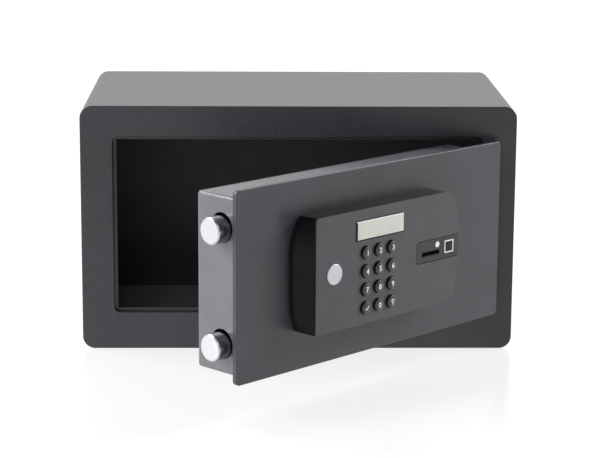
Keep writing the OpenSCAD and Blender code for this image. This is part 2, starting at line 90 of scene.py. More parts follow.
def makeCamera(v):
    turn, tip, roll = (math.radians(v[k]) for k in ("turn", "tip", "roll"))
    right = Vector((math.cos(turn), -math.sin(turn), 0))
    ahead = Vector((math.sin(turn) * math.cos(tip), math.cos(turn) * math.cos(tip), -math.sin(tip)))
    up = right.cross(ahead)
    right, up = (
        right * math.cos(roll) + up * math.sin(roll),
        up * math.cos(roll) - right * math.sin(roll),
    )
    data = bpy.data.cameras.new("camera")
    data.lens = v["lens"]
    data.sensor_width = v["sensor"]
    data.clip_end = v["farthest"]
    camera = bpy.data.objects.new("camera", data)
    axes = Matrix((right, up, -ahead)).transposed().to_4x4()
    camera.matrix_world = Matrix.Translation(v["place"]) @ axes
    scene.collection.objects.link(camera)
    scene.camera = camera


makeCamera(view)
print("camera placed")


def toLinear(hexColour):
    parts = [int(hexColour[i : i + 2], 16) / 255 for i in (1, 3, 5)]
    return [c / 12.92 if c <= 0.04045 else ((c + 0.055) / 1.055) ** 2.4 for c in parts] + [1]


def addNode(tree, kind, settings=None, inputs=None):
    # inputs take a value or an (other node, its output) pair
    node = tree.nodes.new(kind)
    for key, value in (settings or {}).items():
        setattr(node, key, value)
    for key, value in (inputs or {}).items():
        if isinstance(value, tuple) and hasattr(value[0], "outputs"):
            tree.links.new(value[0].outputs[value[1]], node.inputs[key])
        else:
            node.inputs[key].default_value = value
    return node


def startMaterial(name):
    material = bpy.data.materials.new(name)
    material.use_nodes = True
    tree = material.node_tree
    tree.nodes.clear()
    place = addNode(tree, "ShaderNodeTexCoord")
    shader = addNode(tree, "ShaderNodeBsdfPrincipled")
    addNode(tree, "ShaderNodeOutputMaterial", {}, {"Surface": (shader, 0)})
    return material, tree, place, shader


noiseSpan = {"From Min": 0.3, "From Max": 0.7}  # nearly all of a noise lies in here


def surfaceMaterial(name, look):
    # Two tones mixed by a cloudy noise, a grained roughness and a fine bump
    material, tree, place, shader = startMaterial(name)
    cloud, grain = (
        addNode(tree, "ShaderNodeTexNoise", {}, {
            "Vector": (place, "Object"), "Scale": 1 / (look[size] * mm), "Detail": detail,
        })
        for size, detail in (("cloudMm", 3.0), ("grainMm", 2.0))
    )
    speck = addNode(tree, "ShaderNodeMix", {"data_type": "FLOAT"}, {
        "Factor": look["speck"], "A": (cloud, 0), "B": (grain, 0),
    })
    spread = addNode(tree, "ShaderNodeMapRange", {}, {"Value": (speck, 0), **noiseSpan})
    tone = addNode(tree, "ShaderNodeMix", {"data_type": "RGBA"}, {
        "Factor": (spread, 0), "A": toLinear(look["dark"]), "B": toLinear(look["light"]),
    })
    # Mix nodes keep their colour result on the third output
    tree.links.new(tone.outputs[2], shader.inputs["Base Color"])
    uneven = look.get("roughSpread", 0.05)
    rough = addNode(tree, "ShaderNodeMapRange", {}, {
        "Value": (grain, 0), **noiseSpan,
        "To Min": look["rough"] - uneven, "To Max": look["rough"] + uneven,
    })
    tree.links.new(rough.outputs[0], shader.inputs["Roughness"])
    if "bumpMm" in look:
        bump = addNode(tree, "ShaderNodeBump", {}, {
            "Strength": look["bump"], "Distance": look["bumpMm"] * mm, "Height": (grain, 0),
        })
        tree.links.new(bump.outputs[0], shader.inputs["Normal"])
    for socket, value in look["sockets"].items():
        shader.inputs[socket].default_value = value
    return material


looks = {
    # Grains finer than about half a millimetre would not show, so they are drawn two to four
    # times as coarse. Thermoset powder coat, sprayed and baked: dry charcoal, finely sandy.
    "powderCoatCharcoal": {
        "dark": "#2a282d", "light": "#3e3c42", "cloudMm": 40, "grainMm": 1.2, "speck": 0.7,
        "rough": 0.32, "bumpMm": 0.12, "bump": 0.55, "sockets": {"IOR": 1.5},
    },
    # The same coat on the door, drawn a touch lighter as painted light: it stands in for the
    # brighter light that the door catches
    "doorPowderCoatPaintedLight": {
        "dark": "#322f35", "light": "#46434a", "cloudMm": 40, "grainMm": 1.2, "speck": 0.7,
        "rough": 0.34, "bumpMm": 0.10, "bump": 0.55, "sockets": {"IOR": 1.5},
    },
    # Thin powder coat on the folded bolt box: smooth, picks up light at a slant; drawn greyer and
    # lighter than the door, partly its own tone and partly painted light for the light that the box
    # catches
    "boxPowderCoatAndPaintedLight": {
        "dark": "#5a575e", "light": "#605d64", "cloudMm": 24, "grainMm": 0.9, "speck": 0.15,
        "rough": 0.28, "roughSpread": 0.01, "bumpMm": 0.01, "bump": 0.08,
        "sockets": {"IOR": 1.5, "Specular IOR Level": 0.95},
    },
    # Powder coat inside the casing, thinly sprayed: dull, and drawn lighter than the outer coat as
    # painted light that lifts the shaded inside
    "insidePowderCoatPaintedLight": {
        "dark": "#3c3a3e", "light": "#4c4a4f", "cloudMm": 30, "grainMm": 0.9, "speck": 0.6,
        "rough": 0.5, "bumpMm": 0.08, "bump": 0.4, "sockets": {"IOR": 1.45},
    },
    # Satin lacquer on the console's aluminium front
    "lacquerGrey": {
        "dark": "#3d3b40", "light": "#4b484e", "cloudMm": 18, "grainMm": 0.9, "speck": 0.5,
        "rough": 0.36, "bumpMm": 0.03, "bump": 0.35, "sockets": {"IOR": 1.5},
    },
    # Moulded ABS with a satin skin: near black, holds little of the room
    "absGloss": {
        "dark": "#1e1d20", "light": "#232225", "cloudMm": 12, "grainMm": 0.8, "speck": 0.2,
        "rough": 0.3, "roughSpread": 0.01, "bumpMm": 0.01, "bump": 0.1,
        "sockets": {"IOR": 1.3, "Specular IOR Level": 0.2},
    },
    # Moulded ABS with a spark-eroded grain: matt, catches no highlight
    "absGrained": {
        "dark": "#161618", "light": "#1e1e20", "cloudMm": 10, "grainMm": 0.6, "speck": 0.5,
        "rough": 0.55, "bumpMm": 0.05, "bump": 0.5, "sockets": {"IOR": 1.54},
    },
    # Soft-painted ABS key caps: a low, even sheen
    "keyCap": {
        "dark": "#343237", "light": "#403e43", "cloudMm": 6, "grainMm": 0.45, "speck": 0.5,
        "rough": 0.38, "bumpMm": 0.02, "bump": 0.3, "sockets": {"IOR": 1.5},
    },
    # Pad-printed ink: flat white
    "printWhite": {
        "dark": "#eeeeee", "light": "#ffffff", "cloudMm": 4, "grainMm": 0.4, "speck": 0.3,
        "rough": 0.5, "sockets": {"IOR": 1.5},
    },
    # Moulded white ABS: bright, with a slight gloss
    "absWhite": {
        "dark": "#e6e6e6", "light": "#f6f6f6", "cloudMm": 6, "grainMm": 0.5, "speck": 0.3,
        "rough": 0.35, "bumpMm": 0.01, "bump": 0.2, "sockets": {"IOR": 1.5, "Coat Weight": 0.3},
    },
    # Liquid crystal glass behind moulded acrylic: pale green-grey, clear gloss on top
    "displayPale": {
        "dark": "#c9cac1", "light": "#d2d3ca", "cloudMm": 14, "grainMm": 0.5, "speck": 0.2,
        "rough": 0.22, "sockets": {"IOR": 1.49, "Coat Weight": 0.8, "Coat Roughness": 0.04},
    },
    # Painted highlight on bevelled acrylic: the upper and right rims of the lens are drawn near
    # white for the light that they catch
    "displayRimPaintedHighlight": {
        "dark": "#fbfbf8", "light": "#ffffff", "cloudMm": 9, "grainMm": 0.5, "speck": 0.2,
        "rough": 0.14, "sockets": {"IOR": 1.49, "Coat Weight": 0.6, "Coat Roughness": 0.04},
    },
    # Tinted float glass: near black with a faint green cast
    "sensorGlass": {
        "dark": "#1d2020", "light": "#2b2f2e", "cloudMm": 3, "grainMm": 0.6, "speck": 0.6,
        "rough": 0.3, "bumpMm": 0.01, "bump": 0.2,
        "sockets": {"IOR": 1.5, "Specular IOR Level": 0.15},
    },
    # Painted shade on bevelled acrylic: the lower and left rims of the lens are drawn near black
    # for the shade that falls on them
    "displayRimPaintedShade": {
        "dark": "#171618", "light": "#202022", "cloudMm": 9, "grainMm": 0.5, "speck": 0.2,
        "rough": 0.3, "sockets": {"IOR": 1.49},
    },
    # Moulded black nylon inside the service port, matt: drawn near black, partly its own colour and
    # partly painted shade for the shaded recess
    "portNylonAndPaintedShade": {
        "dark": "#050505", "light": "#0b0b0c", "cloudMm": 3, "grainMm": 0.5, "speck": 0.4,
        "rough": 0.7, "bumpMm": 0.01, "bump": 0.2, "sockets": {"Specular IOR Level": 0.2},
    },
    # Loop pile nylon carpet, needled: soft, dull and uneven; drawn a lighter grey, partly its own
    # tone and partly painted light that lifts the shaded floor inside the casing
    "carpetPile": {
        "dark": "#5a585d", "light": "#7d7b81", "cloudMm": 20, "grainMm": 1.4, "speck": 0.8,
        "rough": 0.95, "bumpMm": 0.5, "bump": 0.8,
        "sockets": {"Sheen Weight": 0.35, "Sheen Roughness": 0.5},
    },
    # Moulded EPDM rubber: dull black
    "rubberBlack": {
        "dark": "#131313", "light": "#1c1c1c", "cloudMm": 10, "grainMm": 0.7, "speck": 0.4,
        "rough": 0.7, "bumpMm": 0.03, "bump": 0.4, "sockets": {"IOR": 1.5},
    },
    # Solder resist screened on glass fibre: glossy deep green
    "boardGreen": {
        "dark": "#0d3a22", "light": "#135233", "cloudMm": 8, "grainMm": 0.8, "speck": 0.5,
        "rough": 0.35, "bumpMm": 0.02, "bump": 0.4, "sockets": {"IOR": 1.55},
    },
    # Shrunk PVC sleeve of a dry cell: glossy bronze
    "cellSleeve": {
        "dark": "#7d5a23", "light": "#a3793a", "cloudMm": 16, "grainMm": 1.0, "speck": 0.2,
        "rough": 0.3, "sockets": {"IOR": 1.5, "Coat Weight": 0.4},
    },
    # Moulded red ABS: a small glossy button
    "absRed": {
        "dark": "#8f1512", "light": "#a81c17", "cloudMm": 5, "grainMm": 0.5, "speck": 0.3,
        "rough": 0.3, "bumpMm": 0.01, "bump": 0.2, "sockets": {"IOR": 1.54},
    },
    # Satin lacquer on the reader panel, a shade darker than the console
    "panelLacquer": {
        "dark": "#333236", "light": "#403f43", "cloudMm": 12, "grainMm": 0.4, "speck": 0.5,
        "rough": 0.4, "bumpMm": 0.02, "bump": 0.3,
        "sockets": {"IOR": 1.5, "Specular IOR Level": 0.3},
    },
    # Zinc-plated steel: pale, lightly mottled metal
    "zincPlate": {
        "dark": "#9da0a4", "light": "#b9bcc0", "cloudMm": 5, "grainMm": 0.6, "speck": 0.4,
        "rough": 0.34, "roughSpread": 0.08, "bumpMm": 0.01, "bump": 0.3,
        "sockets": {"Metallic": 1.0},
    },
    # Satin nickel under clear lacquer: pale and soft, hardly mirrors
    "nickelSatin": {
        "dark": "#c6c6ca", "light": "#d4d4d8", "cloudMm": 5, "grainMm": 0.25, "speck": 0.5,
        "rough": 0.42, "bumpMm": 0.01, "bump": 0.2, "sockets": {"Metallic": 0.3},
    },
}
material = {name: surfaceMaterial(name, look) for name, look in looks.items()}


chrome = {
    "ringMm": 0.6, "ringDepthMm": 0.02, "ringBump": 0.12, "smearMm": 6.25,
    # colour, lowest and highest roughness
    # The barrel's chrome is drawn darker than the end's: a painted reflection of the dim room that
    # it mirrors
    "chromeGround": ("#c9c9cd", 0.26, 0.36), "chromeBarrel": ("#a0a0a4", 0.18, 0.28),
}


def turnedChrome(name, c):
    # Hard chrome on ground steel: a soft mirror with faint rings left by the grinding wheel.
    # The real rings lie about 0.05 mm apart and are drawn wider so that they show.
    colour, roughLow, roughHigh = c[name]
    made, tree, place, shader = startMaterial(name)
    back = addNode(tree, "ShaderNodeMapping", {}, {
        "Vector": (place, "Object"), "Rotation": (0, 0, -doorAngle),
    })
    wavesPerUnit = 20  # what a wave texture of scale 1 draws
    rings = addNode(
        tree, "ShaderNodeTexWave", {"wave_type": "BANDS", "bands_direction": "X"},
        {
            "Vector": (back, 0), "Scale": 1 / (c["ringMm"] * mm) / wavesPerUnit,
            "Distortion": 1.5, "Detail": 2.0,
        },
    )
    smear = addNode(tree, "ShaderNodeTexNoise", {}, {
        "Vector": (back, 0), "Scale": 1 / (c["smearMm"] * mm), "Detail": 3.0,
    })
    rough = addNode(tree, "ShaderNodeMapRange", {}, {
        "Value": (smear, 0), **noiseSpan, "To Min": roughLow, "To Max": roughHigh,
    })
    bump = addNode(tree, "ShaderNodeBump", {}, {
        "Strength": c["ringBump"], "Distance": c["ringDepthMm"] * mm, "Height": (rings, 1),
    })
    tree.links.new(rough.outputs[0], shader.inputs["Roughness"])
    tree.links.new(bump.outputs[0], shader.inputs["Normal"])
    shader.inputs["Base Color"].default_value = toLinear(colour)
    shader.inputs["Metallic"].default_value = 1.0
    return made


for name in ("chromeGround", "chromeBarrel"):
    material[name] = turnedChrome(name, chrome)
print("materials ready:", len(material))


def bendPoints(cx, cz, r, start, sweep, steps):
    # Points along an arc, with its start and sweep in degrees
    turns = (math.radians(start + sweep * i / steps) for i in range(steps + 1))
    return [(cx + r * math.cos(a), cz + r * math.sin(a)) for a in turns]


def roundedLoop(x0, x1, z0, z1, r, steps=8):
    # Points go anticlockwise from the lower right bend
    left, right, low, high = x0 + r, x1 - r, z0 + r, z1 - r
    bends = ((right, low, 270), (right, high, 0), (left, high, 90), (left, low, 180))
    return [p for x, z, start in bends for p in bendPoints(x, z, r, start, 90, steps)]


def nestedRect(low, high, r, inset, steps=3):
    # A rounded rectangle drawn in by inset, with as many points as the outer one
    x0, x1, z0, z1 = low.x + inset, high.x - inset, low.z + inset, high.z - inset
    return roundedLoop(x0, x1, z0, z1, max(0.08, r - inset), steps)


def circleLoop(cx, cz, r, steps):
    turns = (2 * math.pi * i / steps for i in range(steps))
    return [(cx + r * math.cos(a), cz + r * math.sin(a)) for a in turns]


def insetLoop(loop, d):
    # Moves every point to the left of the direction of travel; sharp corners reach less far
    out = []
    n = len(loop)
    for i in range(n):
        a, b, c = Vector(loop[i - 1]), Vector(loop[i]), Vector(loop[(i + 1) % n])
        e0, e1 = (b - a).normalized(), (c - b).normalized()
        n0, n1 = Vector((-e0.y, e0.x)), Vector((-e1.y, e1.x))
        m = n0 + n1
        m = m / max(m.length_squared / 2, 0.3) if m.length > 1e-9 else n0
        out.append((b.x + m.x * d, b.y + m.y * d))
    return out


axisFrames = {
    # local x, y and the direction of depth
    "front": Matrix(((1, 0, 0), (0, 0, 1), (0, 1, 0))),  # drawn in XZ, depth to the back
    "plan": Matrix(((1, 0, 0), (0, 1, 0), (0, 0, 1))),  # drawn in XY, depth upwards
    "side": Matrix(((0, 0, 1), (1, 0, 0), (0, 1, 0))),  # drawn in YZ, depth to the right
}


def newObject(name, bm, onDoor, look):
    bmesh.ops.remove_doubles(bm, verts=bm.verts, dist=1e-7)
    bmesh.ops.recalc_face_normals(bm, faces=bm.faces)
    mesh = bpy.data.meshes.new(name)
    bm.to_mesh(mesh)
    bm.free()
    obj = bpy.data.objects.new(name, mesh)
    scene.collection.objects.link(obj)
    if onDoor:
        mesh.transform(doorTurn)
    mesh.materials.append(material[look])
    shade(obj)
    return obj


def shade(obj, angle=38):
    obj.data.polygons.foreach_set("use_smooth", [True] * len(obj.data.polygons))
    obj.data.set_sharp_from_angle(angle=math.radians(angle))
    keep = obj.modifiers.new("even shading", "WEIGHTED_NORMAL")
    keep.keep_sharp = True


def joinRings(bm, rings, closed=False):
    # Faces between each ring of points and the next, and from the last to the first if closed
    for a, b in zip(rings, rings[1:] + rings[:1] * closed):
        n = len(a)
        for i in range(n):
            bm.faces.new((a[i], a[(i + 1) % n], b[(i + 1) % n], b[i]))


def addSlab(bm, loops, d0, d1, edge, steps, plane):
    # One outline and any holes, all anticlockwise, between two depths, with rounded rims
    turn = axisFrames[plane]
    back = turn.inverted()
    section = [(0, d0), (0, d1)]
    if edge > 0:
        bends = [math.pi / 2 * i / steps for i in range(steps + 1)]
        section = [(edge * (1 - math.sin(a)), d0 + edge * (1 - math.cos(a))) for a in bends]
        section += [(inset, d0 + d1 - depth) for inset, depth in section[::-1]]
    low, high = [], []
    for k, loop in enumerate(loops):
        way = loop[::-1] if k else loop
        rings = []
        for inset, depth in section:
            moved = insetLoop(way, inset) if inset else way
            rings.append([bm.verts.new(turn @ Vector((x, y, depth)) * mm) for x, y in moved])
        joinRings(bm, rings)
        low.append(rings[0])
        high.append(rings[-1])
    for cap in (low, high):
        flat = [v for ring in cap for v in ring]
        if len(cap) == 1:
            bm.faces.new(flat)
            continue
        points = [[(back @ v.co).to_2d().to_3d() for v in ring] for ring in cap]
        for tri in geometry.tessellate_polygon(points):
            bm.faces.new([flat[i] for i in tri])


def slab(name, loops, d0, d1, edge, look, plane="front", onDoor=False, steps=3):
    bm = bmesh.new()
    addSlab(bm, loops, d0, d1, edge, steps, plane)
    return newObject(name, bm, onDoor, look)


def addLathe(bm, profile, origin, axis, segments):
    # profile is (radius, distance along axis) in mm, from end to end
    turn = axis.normalized().to_track_quat("Z", "Y").to_matrix()
    rings = []
    for r, h in profile:
        ring = circleLoop(0, 0, r, segments) if r > 0 else [(0, 0)]
        rings.append([bm.verts.new(origin + turn @ Vector((x, y, h)) * mm) for x, y in ring])
    for a, b in zip(rings, rings[1:]):
        for i in range(segments):
            j = (i + 1) % segments
            if len(a) == 1:
                bm.faces.new((a[0], b[j], b[i]))
            elif len(b) == 1:
                bm.faces.new((a[i], a[j], b[0]))
            else:
                bm.faces.new((a[i], a[j], b[j], b[i]))


def evaluated(obj):
    graph = bpy.context.evaluated_depsgraph_get()
    return bpy.data.meshes.new_from_object(obj.evaluated_get(graph))


def cutAway(obj, cutters):
    # Takes the cutters' volume out of obj and leaves a plain mesh
    obj.modifiers.clear()
    for cutter in cutters:
        take = obj.modifiers.new("cut", "BOOLEAN")
        take.operation = "DIFFERENCE"
        take.solver = "EXACT"
        take.object = cutter
    mesh = evaluated(obj)
    obj.modifiers.clear()
    old = obj.data
    obj.data = mesh
    bpy.data.meshes.remove(old)
    for cutter in cutters:
        bpy.data.objects.remove(cutter)


def cutter(loops, d0, d1, plane, onDoor):
    bm = bmesh.new()
    addSlab(bm, loops, d0, d1, 0, 1, plane)
    obj = newObject("cutter", bm, onDoor, "absGloss")
    obj.modifiers.clear()
    return obj


def closedBox(node):
    # Lowest and highest corner of a door node with the door shut, in mm
    points = [doorBack @ v.co for v in nodes[node].data.vertices]
    return [Vector([end(p[i] for p in points) for i in range(3)]) / mm for end in (min, max)]


def openBox(node):
    low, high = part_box(node)
    return Vector(low) / mm, Vector(high) / mm


bodyOf = {n: body for body, members in behaviour["bodies"].items() for n in members}


def settle(obj, *replaced):
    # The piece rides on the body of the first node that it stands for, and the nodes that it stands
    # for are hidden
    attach(obj, bodyOf[replaced[0]])
    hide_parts(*replaced)
    return obj


def doorSlab(name, node, loops, edge, look, steps=2):
    # A flat part of the door, as deep as the node that it stands for
    low, high = closedBox(node)
    return settle(slab(name, loops, low.y, high.y, edge, look, onDoor=True, steps=steps), node)


def soften(node, width, look):
    # A merged copy of a node's mesh with its edges broken
    bm = bmesh.new()
    bm.from_mesh(nodes[node].data)
    bmesh.ops.remove_doubles(bm, verts=bm.verts, dist=2e-6)
    bmesh.ops.dissolve_limit(bm, angle_limit=math.radians(1), verts=bm.verts, edges=bm.edges)
    obj = newObject(node + "_soft", bm, False, look)
    obj.modifiers.clear()
    bevel = obj.modifiers.new("edge", "BEVEL")
    bevel.width = width * mm
    bevel.segments = 2
    bevel.limit_method = "ANGLE"
    bevel.angle_limit = math.radians(35)
    shade(obj)
    settle(obj, node)


def addHoop(bm, loop, profile, plane):
    # Sweeps a closed profile of (inset, depth) round a loop, as a folded sheet with two ends
    turn = axisFrames[plane]
    rings = []
    for inset, depth in profile:
        moved = insetLoop(loop, inset) if inset else loop
        rings.append([bm.verts.new(turn @ Vector((x, y, depth)) * mm) for x, y in moved])
    joinRings(bm, rings, True)


casing = {
    "bend": 10, "sheet": 2, "bendSteps": 14, "trim": 0.02,
    "doorwayX": 148.8, "doorwayZ0": 30.6, "doorwayZ1": 175.3, "doorwayR": 5,
    "frontEdge": 0.9, "backEdge": 0.9,
    "fixR": 5.5, "fixX": 110, "fixCut": (-1, 4), "backFixX": 60, "backFixZ": 80,
}


def makeCasing(c):
    low, high = openBox("front_frame")
    coat = "powderCoatCharcoal"
    outline = roundedLoop(low.x, high.x, low.z, high.z, c["bend"], c["bendSteps"])
    doorX = c["doorwayX"]
    doorway = roundedLoop(-doorX, doorX, c["doorwayZ0"], c["doorwayZ1"], c["doorwayR"])
    backLow, backHigh = openBox("back_panel")
    holes = [circleLoop(s * c["backFixX"], c["backFixZ"], c["fixR"], 32) for s in (-1, 1)]

    trim = insetLoop(outline, c["trim"])
    front = slab("frontFrame", [trim, doorway], low.y, high.y, c["frontEdge"], coat)
    settle(front, "front_frame")
    back = slab("backPanel", [trim, *holes], backLow.y, backHigh.y, c["backEdge"], coat)
    # The inner face takes the lighter inside coat: painted light for the shaded inside of the
    # casing
    back.data.materials.append(material["insidePowderCoatPaintedLight"])
    for face in back.data.polygons:
        if face.normal.y < -0.9:
            face.material_index = 1
    settle(back, "back_panel")

    inner = insetLoop(outline, c["sheet"])
    y0, y1 = low.y + c["frontEdge"], backHigh.y - c["backEdge"]
    wrap = slab("casingWrap", [outline, inner], y0, y1, 0, coat)
    fixings = [circleLoop(s * c["fixX"], 0, c["fixR"], 32) for s in (-1, 1)]
    cutAway(wrap, [cutter([loop], *c["fixCut"], "plan", False) for loop in fixings])
    # The inward faces take the lighter inside coat: painted light for the shaded inside of the
    # casing
    wrap.data.materials.append(material["insidePowderCoatPaintedLight"])
    for face in wrap.data.polygons:
        inward = face.center - Vector((0, face.center.y, (low.z + high.z) / 2 * mm))
        if face.normal.dot(inward) < 0 and abs(face.normal.y) < 0.5:
            face.material_index = 1
    shade(wrap)
    settle(wrap, "casing_wrap")
    soften("door_stop", 0.35, coat)
    for level in ("upper", "lower"):
        soften("hinge_bracket_" + level, 0.4, coat)
        soften("hinge_pin_" + level, 0.35, "zincPlate")


makeCasing(casing)
print("casing made")

mat = {
    "cell": 1.5, "edge": 1.2, "slump": 0.6, "pile": 0.35, "tuft": 2.6,
    "holeR": 15, "holeX": 110, "holeCut": (0.5, 8),
}


def makeMat(m):
    # A carpet pad: its pile is a fine uneven top surface, cut through over the fixing holes
    low, high = openBox("floor_mat")
    nx, ny = round((high.x - low.x) / m["cell"]), round((high.y - low.y) / m["cell"])
    bm = bmesh.new()
    top = []
    for j in range(ny + 1):
        row = []
        for i in range(nx + 1):
            x = low.x + (high.x - low.x) * i / nx
            y = low.y + (high.y - low.y) * j / ny
            rise = noise.noise(Vector((x, y, 3)) / m["tuft"]) * m["pile"]
            side = min(i, nx - i, j, ny - j) * m["cell"] / m["edge"]
            drop = m["edge"] * m["slump"] * (1 - min(1, side)) ** 2
            row.append(bm.verts.new(Vector((x, y, high.z - m["pile"] + rise - drop)) * mm))
        top.append(row)
    for a, b in zip(top, top[1:]):
        for i in range(nx):
            bm.faces.new((a[i], a[i + 1], b[i + 1], b[i]))
    around = [(i, 0) for i in range(nx)] + [(nx, j) for j in range(ny)]
    around += [(i, ny) for i in range(nx, 0, -1)] + [(0, j) for j in range(ny, 0, -1)]
    above = [top[j][i] for i, j in around]
    below = [bm.verts.new((v.co.x, v.co.y, low.z * mm)) for v in above]
    joinRings(bm, [above, below])
    bm.faces.new(below)
    pad = newObject("floorMat", bm, False, "carpetPile")
    holes = [circleLoop(s * m["holeX"], 0, m["holeR"], 40) for s in (-1, 1)]
    cutAway(pad, [cutter([loop], *m["holeCut"], "plan", False) for loop in holes])
    shade(pad, 60)
    settle(pad, "floor_mat")


makeMat(mat)
print("carpet laid")

plate = {"corner": 3.5, "edge": 0.45, "holeX": 10, "holeZ": 75, "holeR": 6}


def makePlate(p):
    low, high = closedBox("door_plate")
    outline = roundedLoop(low.x, high.x, low.z, high.z, p["corner"], 6)
    hole = circleLoop(p["holeX"], p["holeZ"], p["holeR"], 32)
    # The plate takes the lighter door coat, painted light for the brighter light on the door
    doorSlab("doorPlate", "door_plate", [outline, hole], p["edge"], "doorPowderCoatPaintedLight", 3)


makePlate(plate)

boltBox = {
    "bend": 4, "sheet": 1.5, "fold": 2.3, "foldSteps": 6,
    "seam": 0.8, "lidEdge": 0.3, "flange": 0.8, "flangeDepth": 4.5, "flangeGap": 0.05,
    "boltY": -81.8, "boltZ": (144.8, 59.6), "boltHole": 11.1, "sideCut": (-3, 5),
    "batteryHole": (52, 112, 78, 130), "resetHole": (20, 60, 3.9), "backCut": (-4, 3),
}


def makeBox(b):
    low, high = closedBox("box_wrap")
    z0, z1 = closedBox("box_bottom")[0].z, closedBox("box_top")[1].z
    bend, fold, sheet = b["bend"], b["fold"], b["sheet"]
    bendY = high.y - bend
    outline = [
        (low.x, low.y), (high.x, low.y), *bendPoints(high.x - bend, bendY, bend, 0, 90, 8),
        *bendPoints(low.x + bend, bendY, bend, 90, 90, 8),
    ]
    quarter = [math.pi / 2 * i / b["foldSteps"] for i in range(b["foldSteps"] + 1)]
    arc = [(fold * (1 - math.sin(a)), fold * (1 - math.cos(a))) for a in quarter]
    profile = [(inset, z0 + d) for inset, d in arc] + [(inset, z1 - d) for inset, d in arc[::-1]]
    # Back along the inside of the folded sheet
    tip, bent = fold + 0.01, fold + 0.4
    profile += [(tip, z1 - sheet), (sheet, z1 - bent), (sheet, z0 + bent), (tip, z0 + sheet)]
    bm = bmesh.new()
    addHoop(bm, outline, profile, "plan")
    # The box's lighter coat is partly painted light
    wrap = newObject("boltBoxWrap", bm, True, "boxPowderCoatAndPaintedLight")
    x0, x1 = (low.x + d for d in b["sideCut"])
    y0, y1 = (high.y + d for d in b["backCut"])
    bores = [circleLoop(b["boltY"], z, b["boltHole"], 56) for z in b["boltZ"]]
    windows = [roundedLoop(*b["batteryHole"], 1, 3), circleLoop(*b["resetHole"], 32)]
    cutters = [cutter([loop], x0, x1, "side", True) for loop in bores]
    cutters += [cutter([loop], y0, y1, "front", True) for loop in windows]
    cutAway(wrap, cutters)
    shade(wrap)
    settle(wrap, "box_wrap")
    lid = insetLoop(outline, fold + b["seam"])
    for name, node, d0, d1 in (
        ("boltBoxTop", "box_top", z1 - sheet, z1),
        ("boltBoxBottom", "box_bottom", z0, z0 + sheet),
    ):
        settle(slab(name, [lid], d0, d1, b["lidEdge"], "boxPowderCoatAndPaintedLight", "plan", onDoor=True), node)
    # Flanges inside the box close the seams round its top and bottom
    bm = bmesh.new()
    shelf = insetLoop(outline, sheet + b["flangeGap"])
    for d in (z1 - b["flangeDepth"], z0 + b["flangeDepth"] - b["flange"]):
        addSlab(bm, [shelf], d, d + b["flange"], 0, 1, "plan")
    # They take the lighter inside coat, painted light
    flange = newObject("boltBoxFlange", bm, True, "insidePowderCoatPaintedLight")
    flange.modifiers.clear()
    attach(flange, "door")


makeBox(boltBox)
print("door plate and bolt box made")

bolts = {"chamfer": 0.9, "segments": 80}


def makeBolt(level, b):
    node = "bolt_" + level
    low, high = closedBox(node)
    r, length, chamfer = (high.z - low.z) / 2, high.x - low.x, b["chamfer"]
    flat = r - chamfer
    # From the middle of the outer end, over the chamfer and along the barrel
    profile = [
        (0, 0), (flat - 2.5, 0), (flat - 0.15, 0), (flat, 0.05), (r - 0.06, chamfer - 0.06),
        (r, chamfer + 0.1), (r, chamfer + 0.6), (r, length - 0.5), (r - 0.5, length), (0, length),
    ]
    bm = bmesh.new()
    centre = Vector((low.x, (low.y + high.y) / 2, (low.z + high.z) / 2)) * mm
    addLathe(bm, profile, centre, Vector((1, 0, 0)), b["segments"])
    obj = newObject("lockingBolt_" + level, bm, True, "chromeGround")
    obj.data.materials.append(material["chromeBarrel"])
    # The barrel faces take the darker chrome, a painted reflection of the dim room
    along = doorTurn.to_3x3() @ Vector((1, 0, 0))
    for face in obj.data.polygons:
        if abs(face.normal.dot(along)) < 0.2:
            face.material_index = 1
    settle(obj, node)


for level in ("upper", "lower"):
    makeBolt(level, bolts)
print("bolts made")

console = {
    "rays": 360, "eye": (-30, 104), "z0": 60.5, "z1": 147.5, "x0": -94.4, "x1": 74.2,
    "leftR": 12, "rightR": 18, "bowR": 150,
    "upperArc": (37.2, 120.8), "lowerArc": (66.4, 89.3),
    "cutX": -84.8, "cutBodyX": -85.5, "wallY": -104.3, "face": 1.0, "wall": 2.5,
    "crease": 0.10, "bendPull": 0.7, "keyHole": 5.15, "display": (-43.2, 9.8, 123.9, 139.5),
    "displayLip": (1.7, -1.8, 1.6, -1.5), "holeCut": (-1, 4), "skinEdge": 0.14,
    "reader": (24.3, 95.5, 113, 3),
}
reader = {
    "gap": 0.45, "depth": 0.2, "edge": 0.1,
    "port": (31.1, 51.6, 100.3, 104.1), "window": (57.9, 66.2, 100.9, 108.5),
    "light": (48.5, 108.15, 1.6),
}


def inConsole(x, z, c, inset):
    # True inside the outline: a rounded box with a bowed right end and a nose on the left
    x0, x1, z0, z1 = c["x0"] + inset, c["x1"] - inset, c["z0"] + inset, c["z1"] - inset
    if not (x0 <= x <= x1 and z0 <= z <= z1):
        return False
    for r, cx, side in ((c["leftR"] - inset, x0, 1), (c["rightR"] - inset, x1, -1)):
        mx = cx + side * r
        for mz, way in ((z0 + r, -1), (z1 - r, 1)):
            if (x - mx) * side < 0 and (z - mz) * way > 0 and math.hypot(x - mx, z - mz) > r:
                return False
    if math.hypot(x - (x1 - c["bowR"]), z - (c["z0"] + c["z1"]) / 2) > c["bowR"]:
        return False
    for (r, zc), way in ((c["upperArc"], 1), (c["lowerArc"], -1)):
        r -= inset
        if (z - zc) * way > 0 and x < x0 + r and math.hypot(x - x0 - r, z - zc) > r:
            return False
    return True


